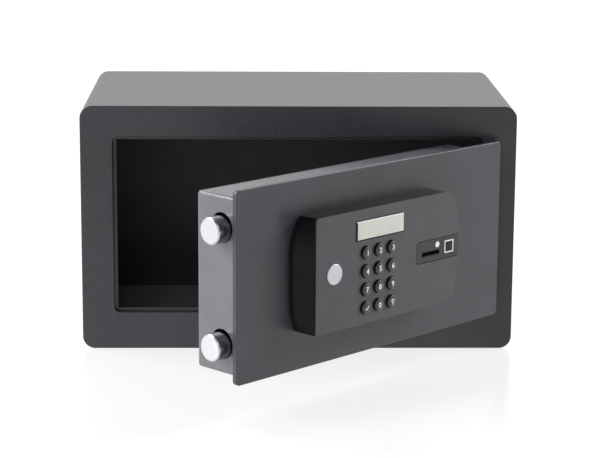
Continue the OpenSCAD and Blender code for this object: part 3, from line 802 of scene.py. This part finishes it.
def consoleLoop(c, inset, clip=None):
    # Rays from a point inside, so that loops at different depths match point for point
    ex, ez = c["eye"]
    marks = [2 * math.pi * i / c["rays"] for i in range(c["rays"])]
    for way in (1, -1):
        z = c["z1"] if way > 0 else c["z0"]
        while not inConsole(c["cutBodyX"], z, c, 0):
            z -= way * 0.02
        marks.append(math.atan2(z - ez, c["cutBodyX"] - ex) % (2 * math.pi))
    loop = []
    for a in sorted(marks):
        lo, hi = 0, 200
        for halving in range(40):
            mid = (lo + hi) / 2
            x, z = ex + mid * math.cos(a), ez + mid * math.sin(a)
            inside = inConsole(x, z, c, inset) and (clip is None or x >= clip)
            lo, hi = (mid, hi) if inside else (lo, mid)
        loop.append((ex + lo * math.cos(a), ez + lo * math.sin(a)))
    return loop


def loftLoops(bm, rings):
    made = [[bm.verts.new(Vector((x, y, z)) * mm) for x, z in loop] for y, loop in rings]
    joinRings(bm, made)
    bm.faces.new(made[0][::-1])
    bm.faces.new(made[-1])


def between(a, b, t):
    return [(p[0] + (q[0] - p[0]) * t, p[1] + (q[1] - p[1]) * t) for p, q in zip(a, b)]


def makeConsole(c, r, keyPlaces):
    frontY = closedBox("console_face")[0].y
    skinY = frontY + c["face"]
    doorY = closedBox("console_body")[1].y
    top = consoleLoop(c, 0, c["cutBodyX"])
    base = consoleLoop(c, 0)
    k, depth = c["crease"], c["wallY"] - skinY
    # The facet runs into the wall through a small bend
    first = (skinY + depth * (1 - k), between(top, base, 1 - k))
    middle = (c["wallY"], base)
    last = (c["wallY"] + depth * k * c["bendPull"], base)
    rings = [(skinY, top)]
    for t in (0, 0.25, 0.5, 0.75, 1):
        y = (1 - t) ** 2 * first[0] + 2 * t * (1 - t) * middle[0] + t * t * last[0]
        loop = between(between(first[1], middle[1], t), between(middle[1], last[1], t), t)
        rings.append((y, loop))
    rings.append((doorY, base))
    bm = bmesh.new()
    loftLoops(bm, rings)
    body = newObject("consoleBody", bm, True, "absGloss")
    bm = bmesh.new()
    wall = c["wall"]
    innerBase = consoleLoop(c, wall)
    innerTop = consoleLoop(c, wall, c["cutBodyX"] + wall)
    nearWall = (c["wallY"] + 0.5, between(innerTop, innerBase, 0.9))
    loftLoops(bm, [(skinY + wall, innerTop), nearWall, (doorY + 1, innerBase)])
    hollow = newObject("cutter", bm, True, "absGloss")
    hollow.modifiers.clear()
    lip = [edge + d for edge, d in zip(c["display"], c["displayLip"])]
    holes = [circleLoop(x, z, c["keyHole"], 40) for x, z in keyPlaces]
    holes.append(roundedLoop(*lip, 0.5, 2))
    holes += [roundedLoop(*r[part], 0.3, 2) for part in ("port", "window")]
    holes.append(circleLoop(*r["light"], 24))
    h0, h1 = (skinY + d for d in c["holeCut"])
    cutAway(body, [hollow, *(cutter([loop], h0, h1, "front", True) for loop in holes)])
    shade(body, 30)
    settle(body, "console_body")

    # The front skin is notched at its right end, where the reader panel lies
    rx, rz0, rz1, rr = c["reader"]
    edgeLoop = consoleLoop(c, 0, c["cutX"])
    rightEnd = 60
    keep = [p for p in edgeLoop if not (p[0] > rightEnd and rz0 <= p[1] <= rz1)]
    start = next(
        i for i, p in enumerate(keep)
        if p[0] > rightEnd and p[1] > rz1 and keep[i - 1][1] < rz0
    )
    keep = keep[start:] + keep[:start]

    def wallX(z, step=0.01):
        # How far right the console reaches at height z
        x = 40.0
        while inConsole(x, z, c, 0):
            x += step
        return x - step

    mx, mz0, mz1 = rx + rr, rz0 + rr, rz1 - rr
    notch = [
        (wallX(rz0), rz0), *bendPoints(mx, mz0, rr, 270, -90, 6),
        *bendPoints(mx, mz1, rr, 180, -90, 6), (wallX(rz1), rz1),
    ]
    loops = [keep + notch, *(circleLoop(x, z, c["keyHole"], 48) for x, z in keyPlaces)]
    loops.append(roundedLoop(*c["display"], 0.4, 3))
    edge = c["skinEdge"]
    face = slab("consoleFace", loops, frontY, skinY, edge, "lacquerGrey", onDoor=True, steps=2)
    settle(face, "console_face")

    # Reader panel, open at the console's end
    g = r["gap"]
    heights = [rz0 + g + (rz1 - rz0 - 2 * g) * i / 16 for i in range(17)]
    outline = [(wallX(z) - g, z) for z in heights]
    outline += bendPoints(mx, mz1, rr - g, 90, 90, 6) + bendPoints(mx, mz0, rr - g, 180, 90, 6)
    loops = [outline, *(roundedLoop(*r[part], 0.3, 3) for part in ("port", "window"))]
    loops.append(circleLoop(*r["light"], 24))
    panel = slab(
        "readerPanel", loops, frontY + r["depth"], skinY, r["edge"], "panelLacquer",
        onDoor=True, steps=2,
    )
    settle(panel, "reader_panel")


keyGrid = {"x": (-32.3, -18.3, -4.3), "z": (114.8, 100.8, 86.8, 72.8)}
keyNames = [
    ["key_1", "key_2", "key_3"], ["key_4", "key_5", "key_6"],
    ["key_7", "key_8", "key_9"], ["key_enter", "key_0", "key_lock"],
]
keyPlaces = {
    name: (x, z) for z, row in zip(keyGrid["z"], keyNames) for x, name in zip(keyGrid["x"], row)
}
makeConsole(console, reader, list(keyPlaces.values()))
print("console made")

keyCap = {
    "segments": 56, "radius": 4.75, "edge": 0.75, "crown": 0.55,
    "digitSize": 5.6, "bold": 0.085, "ink": 0.04, "sink": 0.35,
    "tick": [(-1.7, -0.1), (-0.6, -1.3), (1.7, 1.4)], "tickWidth": 0.62,
    "eye": (0.7, 1.4, 0.82),  # height, outer and inner radius of the key sign's ring
    "stem": [(-0.32, -2.2), (0.32, -2.2), (0.32, -0.6), (-0.32, -0.6)],
}


def inkMesh(bm, loops, x, z, frontY, k):
    placed = [[(x + px, z + pz) for px, pz in loop] for loop in loops]
    addSlab(bm, placed, frontY - k["ink"], frontY + k["sink"], 0, 1, "front")


def strokeLoop(points, width):
    # A line of even width through the points, with square ends
    path = [Vector(p) for p in points]
    ways = [(b - a).normalized() for a, b in zip(path, path[1:])]
    sides = ([], [])
    for p, before, after in zip(path, ways[:1] + ways, ways + ways[-1:]):
        way = (before + after).normalized()
        aside = Vector((-way.y, way.x)) * (width / 2 / max(0.4, way.dot(before)))
        sides[0].append((p + aside).to_tuple())
        sides[1].append((p - aside).to_tuple())
    return sides[1] + sides[0][::-1]


def digitMesh(text, size, bold):
    curve = bpy.data.curves.new("digit", "FONT")
    curve.body = text
    curve.size = size
    curve.offset = bold
    curve.align_x = "CENTER"
    curve.align_y = "CENTER"
    curve.resolution_u = 4
    obj = bpy.data.objects.new("digit", curve)
    scene.collection.objects.link(obj)
    mesh = evaluated(obj)
    bpy.data.objects.remove(obj)
    return mesh


def makeKey(name, place, k):
    low, high = closedBox(name)
    x, z = place
    front, back = low.y, high.y - low.y
    r, edge, crown = k["radius"], k["edge"], k["crown"]
    # A shallow dome, a rounded shoulder and a straight skirt
    domeR = (r - edge) ** 2 / (2 * crown) + crown / 2
    profile = [(0, 0)]
    for i in range(1, 7):
        rad = (r - edge) * i / 6
        profile.append((rad, domeR - math.sqrt(domeR**2 - rad**2)))
    for i in range(1, 6):
        a = math.pi / 2 * i / 5
        profile.append((r - edge + edge * math.sin(a), crown + edge * (1 - math.cos(a))))
    profile += [(r, back - 1.2), (r, back - 0.2), (r - 0.2, back), (0, back)]
    bm = bmesh.new()
    addLathe(bm, profile, Vector((x, front, z)) * mm, Vector((0, 1, 0)), k["segments"])
    cap = newObject(name + "_cap", bm, True, "keyCap")
    cap.data.materials.append(material["absGloss"])
    ahead = doorTurn.to_3x3() @ Vector((0, -1, 0))
    for face in cap.data.polygons:
        if face.normal.dot(ahead) < 0.55:
            face.material_index = 1
    settle(cap, name)

    bm = bmesh.new()
    mark = name[4:]
    if mark.isdigit():
        mesh = digitMesh(mark, k["digitSize"], k["bold"])
        bm.from_mesh(mesh)
        bpy.data.meshes.remove(mesh)
        bmesh.ops.remove_doubles(bm, verts=bm.verts, dist=1e-4)
        spread = [[v.co[i] for v in bm.verts] for i in (0, 1)]
        cx, cy = ((min(values) + max(values)) / 2 for values in spread)
        made = bmesh.ops.extrude_face_region(bm, geom=bm.faces[:])
        lifted = {g for g in made["geom"] if isinstance(g, bmesh.types.BMVert)}
        for v in bm.verts:
            depth = front - k["ink"] if v in lifted else front + k["sink"]
            v.co = Vector((x + v.co.x - cx, depth, z + v.co.y - cy)) * mm
    elif mark == "enter":
        inkMesh(bm, [strokeLoop(k["tick"], k["tickWidth"])], x, z, front, k)
    else:
        height, outer, inner = k["eye"]
        inkMesh(bm, [circleLoop(0, height, r, 28) for r in (outer, inner)], x, z, front, k)
        inkMesh(bm, [k["stem"]], x, z, front, k)
    legend = newObject(name + "_mark", bm, True, "printWhite")
    legend.modifiers.clear()
    legend.data.polygons.foreach_set("use_smooth", [False] * len(legend.data.polygons))
    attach(legend, name if name in frame["bodies"] else bodyOf[name])


for name, place in keyPlaces.items():
    makeKey(name, place, keyCap)
print("keys made")

fittings = {
    "lensBevel": 0.7, "lensR": 0.5, "ring": 0.45, "ringTop": 0.75, "frameEdge": 0.15, "frame": 1.0,
    "badgeR": 7.8, "windowEdge": 0.12, "portRim": 0.6, "portFloor": 1.5, "tongueTop": 2.4,
}
softened = {
    # node: how far its edges are broken, and its finish
    "hinge_arm_upper": (0.5, "powderCoatCharcoal"), "hinge_arm_lower": (0.5, "powderCoatCharcoal"),
    "battery_rails": (0.3, "absGrained"), "battery_lid": (0.3, "absGrained"),
    "reset_button": (0.4, "absRed"), "gear_bracket": (0.25, "zincPlate"),
    "bolt_guide_upper": (0.4, "zincPlate"), "bolt_guide_lower": (0.4, "zincPlate"),
    "battery_holder": (0.3, "absGrained"),
}


def turnedFront(name, node, profile, segments, look):
    # A round part that stands out from the door, its profile starting at the node's back
    low, high = closedBox(node)
    centre = Vector(((low.x + high.x) / 2, high.y, (low.z + high.z) / 2)) * mm
    bm = bmesh.new()
    addLathe(bm, profile, centre, Vector((0, -1, 0)), segments)
    settle(newObject(name, bm, True, look), node)


def makeFittings(f):
    low, high = closedBox("lcd_lens")
    b, r, ring = f["lensBevel"], f["lensR"], f["ring"]
    # The lens sits in a black rubber ring that shows at its foot
    rubber = slab(
        "displayRing",
        [nestedRect(low, high, r, -0.1), nestedRect(low, high, r - 0.1, ring + 0.02)],
        low.y + f["ringTop"], high.y, 0.08, "rubberBlack", onDoor=True, steps=2,
    )
    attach(rubber, bodyOf["lcd_lens"])
    bm = bmesh.new()
    rings = [(b, low.y), (b * 0.25, low.y + b * 0.8), (0, low.y + b * 1.05), (0, high.y - 0.1)]
    loftLoops(bm, [(y, nestedRect(low, high, r, ring + inset)) for inset, y in rings])
    lens = newObject("displayLens", bm, True, "displayPale")
    # Rims facing up or right take the painted highlight, the other rims the painted shade
    for look in ("displayRimPaintedHighlight", "displayRimPaintedShade"):
        lens.data.materials.append(material[look])
    back = doorBack.to_3x3()
    for face in lens.data.polygons:
        normal = back @ face.normal
        if normal.y > -0.95:
            face.material_index = 1 if normal.z > 0.3 or normal.x > 0.3 else 2
    shade(lens, 20)
    settle(lens, "lcd_lens")

    r = f["badgeR"]
    profile = [
        (0, 0), (r, 0), (r, 0.35), (r - 0.12, 0.55), (r - 0.45, 0.72), (r - 0.7, 0.74),
        (r - 0.9, 0.66), (r - 1.6, 0.66), (0, 0.66),
    ]
    turnedFront("badgeDisc", "badge_disc", profile, 72, "nickelSatin")

    low, high = closedBox("reader_frame")
    loops = [nestedRect(low, high, 0.4, 0), nestedRect(low, high, 0.3, f["frame"])]
    doorSlab("readerFrame", "reader_frame", loops, f["frameEdge"], "absWhite")
    low, high = closedBox("reader_window")
    loops = [roundedLoop(low.x, high.x, low.z, high.z, 0.25, 3)]
    doorSlab("readerWindow", "reader_window", loops, f["windowEdge"], "sensorGlass")

    low, high = closedBox("status_light")
    r, top = (high.x - low.x) / 2, high.y - low.y
    profile = [
        (0, 0), (1.5, 0), (1.5, top - 0.8), (r, top - 0.8), (r, top - 0.35),
        (r - 0.15, top - 0.15), (r - 0.6, top - 0.03), (0, top),
    ]
    turnedFront("statusLight", "status_light", profile, 40, "absWhite")

    # A shallow tray with a tongue in it
    low, high = closedBox("service_port")
    outer = nestedRect(low, high, 0.3, 0)
    floorY = high.y - f["portFloor"]
    bm = bmesh.new()
    addSlab(bm, [outer, nestedRect(low, high, 0.3, f["portRim"])], low.y, floorY, 0.08, 2, "front")
    addSlab(bm, [outer], floorY - 0.1, high.y, 0.1, 2, "front")
    middle = (low.z + high.z) / 2
    tongue = [(x, (z - middle) * 0.35 + middle) for x, z in nestedRect(low, high, 0.3, 1.1)]
    addSlab(bm, [tongue], low.y + f["tongueTop"], floorY, 0.05, 2, "front")
    # The whole port is near black, partly painted shade for its shaded recess
    settle(newObject("servicePort", bm, True, "portNylonAndPaintedShade"), "service_port")

    for node, (width, look) in softened.items():
        soften(node, width, look)


makeFittings(fittings)
print("fittings made")

screwHeads = {
    "slotWide": 0.9, "slotLong": 1.25, "seed": 7,
    "arm_screws": (3.8, 2.2), "box_screws": (3.2, 1.8),  # head radius and height
}


def screwTree(name):
    tree = bpy.data.node_groups.new(name, "GeometryNodeTree")
    face = tree.interface
    face.new_socket("Geometry", in_out="INPUT", socket_type="NodeSocketGeometry")
    for label in ("headRadius", "headHeight", "slotWide", "slotLong"):
        face.new_socket(label, in_out="INPUT", socket_type="NodeSocketFloat")
    for label, kind in (("seed", "Int"), ("facing", "Vector"), ("finish", "Material")):
        face.new_socket(label, in_out="INPUT", socket_type="NodeSocket" + kind)
    face.new_socket("Geometry", in_out="OUTPUT", socket_type="NodeSocketGeometry")
    given = tree.nodes.new("NodeGroupInput")

    def heightTimes(factor):
        times = {"operation": "MULTIPLY"}
        return addNode(tree, "ShaderNodeMath", times, {0: (given, "headHeight"), 1: factor}), 0

    head = addNode(tree, "GeometryNodeMeshCylinder", {"fill_type": "NGON"}, {
        "Vertices": 32, "Radius": (given, "headRadius"), "Depth": heightTimes(0.8),
    })
    shape, top = head.outputs[0], head.outputs["Top"]
    # The pan head's crown: each step rises a little and draws in
    for rise, pull in ((0.16, 0.97), (0.14, 0.92), (0.11, 0.85), (0.07, 0.74)):
        extrude = addNode(tree, "GeometryNodeExtrudeMesh", {"mode": "FACES"}, {
            "Offset Scale": heightTimes(rise),
        })
        tree.links.new(shape, extrude.inputs["Mesh"])
        tree.links.new(top, extrude.inputs["Selection"])
        pulled = addNode(tree, "GeometryNodeScaleElements", {}, {
            "Geometry": (extrude, "Mesh"), "Selection": (extrude, "Top"), "Scale": pull,
        })
        shape, top = pulled.outputs[0], extrude.outputs["Top"]
    # A cross slot, cut by two bars
    bars = tree.nodes.new("GeometryNodeJoinGeometry")
    for order in ("XYZ", "YXZ"):
        size = tree.nodes.new("ShaderNodeCombineXYZ")
        for axis, label in zip(order, ("slotLong", "slotWide", "headHeight")):
            tree.links.new(given.outputs[label], size.inputs[axis])
        bar = addNode(tree, "GeometryNodeMeshCube", {}, {"Size": (size, 0)})
        tree.links.new(bar.outputs[0], bars.inputs[0])
    raised = addNode(tree, "ShaderNodeCombineXYZ", {}, {"Z": heightTimes(0.95)})
    placed = addNode(tree, "GeometryNodeTransform", {}, {
        "Geometry": (bars, 0), "Translation": (raised, 0),
    })
    cut = addNode(tree, "GeometryNodeMeshBoolean", {"operation": "DIFFERENCE"}, {
        "Mesh 2": (placed, 0),
    })
    tree.links.new(shape, cut.inputs["Mesh 1"])
    spots = addNode(tree, "GeometryNodeInstanceOnPoints", {}, {
        "Points": (given, "Geometry"), "Instance": (cut, 0), "Rotation": (given, "facing"),
    })
    spin = tree.nodes.new("FunctionNodeRandomValue")
    spin.data_type = "FLOAT"
    floats = [s for s in spin.inputs if s.type == "VALUE"]
    floats[0].default_value, floats[1].default_value = 0, math.pi
    tree.links.new(given.outputs["seed"], next(s for s in spin.inputs if s.name == "Seed"))
    around = tree.nodes.new("ShaderNodeCombineXYZ")
    tree.links.new(next(s for s in spin.outputs if s.type == "VALUE"), around.inputs["Z"])
    turned = addNode(tree, "GeometryNodeRotateInstances", {}, {
        "Instances": (spots, 0), "Rotation": (around, 0),
    })
    real = addNode(tree, "GeometryNodeRealizeInstances", {}, {"Geometry": (turned, 0)})
    painted = addNode(tree, "GeometryNodeSetMaterial", {}, {
        "Geometry": (real, 0), "Material": (given, "finish"),
    })
    out = tree.nodes.new("NodeGroupOutput")
    tree.links.new(painted.outputs[0], out.inputs[0])
    return tree


def makeScrews(tree, node, s):
    # One point in the middle of each screw, found from the loose parts of the node's mesh
    radius, height = s[node]
    bm = bmesh.new()
    bm.from_mesh(nodes[node].data)
    bmesh.ops.remove_doubles(bm, verts=bm.verts, dist=2e-6)
    left, middles = set(bm.verts), []
    while left:
        queue, group = [left.pop()], []
        while queue:
            v = queue.pop()
            group.append(v)
            for edge in v.link_edges:
                other = edge.other_vert(v)
                if other in left:
                    left.remove(other)
                    queue.append(other)
        middles.append(sum((v.co for v in group), Vector()) / len(group))
    bm.free()
    mesh = bpy.data.meshes.new(node + "_heads")
    middles.sort(key=lambda p: (round(p.z, 4), round(p.x, 4)))
    mesh.from_pydata([tuple(p) for p in middles], [], [])
    obj = bpy.data.objects.new(node + "_heads", mesh)
    scene.collection.objects.link(obj)
    grow = obj.modifiers.new("screws", "NODES")
    grow.node_group = tree
    values = {
        "headRadius": radius * mm, "headHeight": height * mm,
        "slotWide": s["slotWide"] * mm, "slotLong": s["slotLong"] * radius * mm,
        "seed": s["seed"], "facing": (-math.pi / 2, 0, doorAngle), "finish": material["zincPlate"],
    }
    for item in tree.interface.items_tree:
        if item.in_out == "INPUT" and item.name in values:
            grow[item.identifier] = values[item.name]
    made = evaluated(obj)
    obj.modifiers.clear()
    obj.data = made
    bm = bmesh.new()
    bm.from_mesh(made)
    bmesh.ops.remove_doubles(bm, verts=bm.verts, dist=1e-6)
    bmesh.ops.recalc_face_normals(bm, faces=bm.faces)
    bm.to_mesh(made)
    bm.free()
    shade(obj, 30)
    settle(obj, node)


panScrews = screwTree("panScrews")
for node in ("arm_screws", "box_screws"):
    makeScrews(panScrews, node, screwHeads)
print("screws set")

keptFinishes = {
    "bolt_carriage": "zincPlate", "bolt_pinion": "zincPlate", "gearbox": "absGrained",
    "motor": "zincPlate", "main_board": "boardGreen", "keypad_board": "boardGreen",
    "harness": "rubberBlack", "grommet": "rubberBlack", "battery_cells": "cellSleeve",
    "reset_switch": "absGrained", "lcd_module": "absGrained", "key_mat": "rubberBlack",
}
for node, look in keptFinishes.items():
    mesh = nodes[node].data
    mesh.materials.clear()
    mesh.materials.append(material[look])
print("inner parts finished")

stageLook = {"floor": "#8c8c8c", "rough": 0.2, "glow": 0.74, "specular": 0.2, "halfWidth": 8}
studio = {"away": (0.1, -0.97, 0.2), "near": 0.4, "far": -0.2, "dark": 0.07, "bright": 1.0}


def makeStage(s, w):
    bm = bmesh.new()
    bmesh.ops.create_grid(bm, x_segments=1, y_segments=1, size=s["halfWidth"])
    mesh = bpy.data.meshes.new("floor")
    bm.to_mesh(mesh)
    bm.free()
    floor = bpy.data.objects.new("floor", mesh)
    scene.collection.objects.link(floor)
    made, tree, place, shader = startMaterial("floorPale")
    for socket, value in (
        ("Base Color", toLinear(s["floor"])), ("Roughness", s["rough"]),
        ("Specular IOR Level", s["specular"]), ("Emission Color", (1, 1, 1, 1)),
        ("Emission Strength", s["glow"]),
    ):
        shader.inputs[socket].default_value = value
    mesh.materials.append(made)

    # The room is bright behind and above the object and dim on the viewer's side
    world = bpy.data.worlds.new("studio")
    world.use_nodes = True
    tree = world.node_tree
    tree.nodes.clear()
    place = addNode(tree, "ShaderNodeTexCoord")
    facing = addNode(tree, "ShaderNodeVectorMath", {"operation": "DOT_PRODUCT"}, {
        0: (place, "Generated"), 1: w["away"],
    })
    level = addNode(tree, "ShaderNodeMapRange", {"interpolation_type": "SMOOTHSTEP"}, {
        "Value": (facing, 1), "From Min": w["far"], "From Max": w["near"],
        "To Min": w["bright"], "To Max": w["dark"],
    })
    glow = addNode(tree, "ShaderNodeBackground", {}, {"Strength": (level, 0)})
    addNode(tree, "ShaderNodeOutputWorld", {}, {"Surface": (glow, 0)})
    scene.world = world


lamps = {
    # place, aim, width and depth in metres, power in watts
    "leftLamp": ((-1.5, -0.6, 0.8), (0, -0.1, 0.1), 0.9, 1.0, 26),
    "topLamp": ((-1.2, 0.35, 1.55), (-0.05, -0.2, 0.15), 0.6, 0.5, 12),
    "rightLamp": ((1.6, 0.3, 0.9), (0, -0.15, 0.1), 0.5, 0.6, 25),
    "frontLamp": ((-0.4, -2.3, 1.0), (0, 0, 0.1), 1.2, 1.0, 5),
    "backLamp": ((0.0, 1.9, 1.0), (0, -0.2, 0.17), 2.2, 0.45, 3),
}


def makeLamps(lamps):
    for name, (place, aim, width, depth, power) in lamps.items():
        data = bpy.data.lights.new(name, "AREA")
        data.shape = "RECTANGLE"
        data.size = width
        data.size_y = depth
        data.energy = power
        lamp = bpy.data.objects.new(name, data)
        lamp.location = place
        lamp.rotation_euler = (Vector(aim) - Vector(place)).to_track_quat("-Z", "Y").to_euler()
        scene.collection.objects.link(lamp)


makeStage(stageLook, studio)
makeLamps(lamps)
scene.view_settings.view_transform = "Standard"
print("floor and lamps placed")
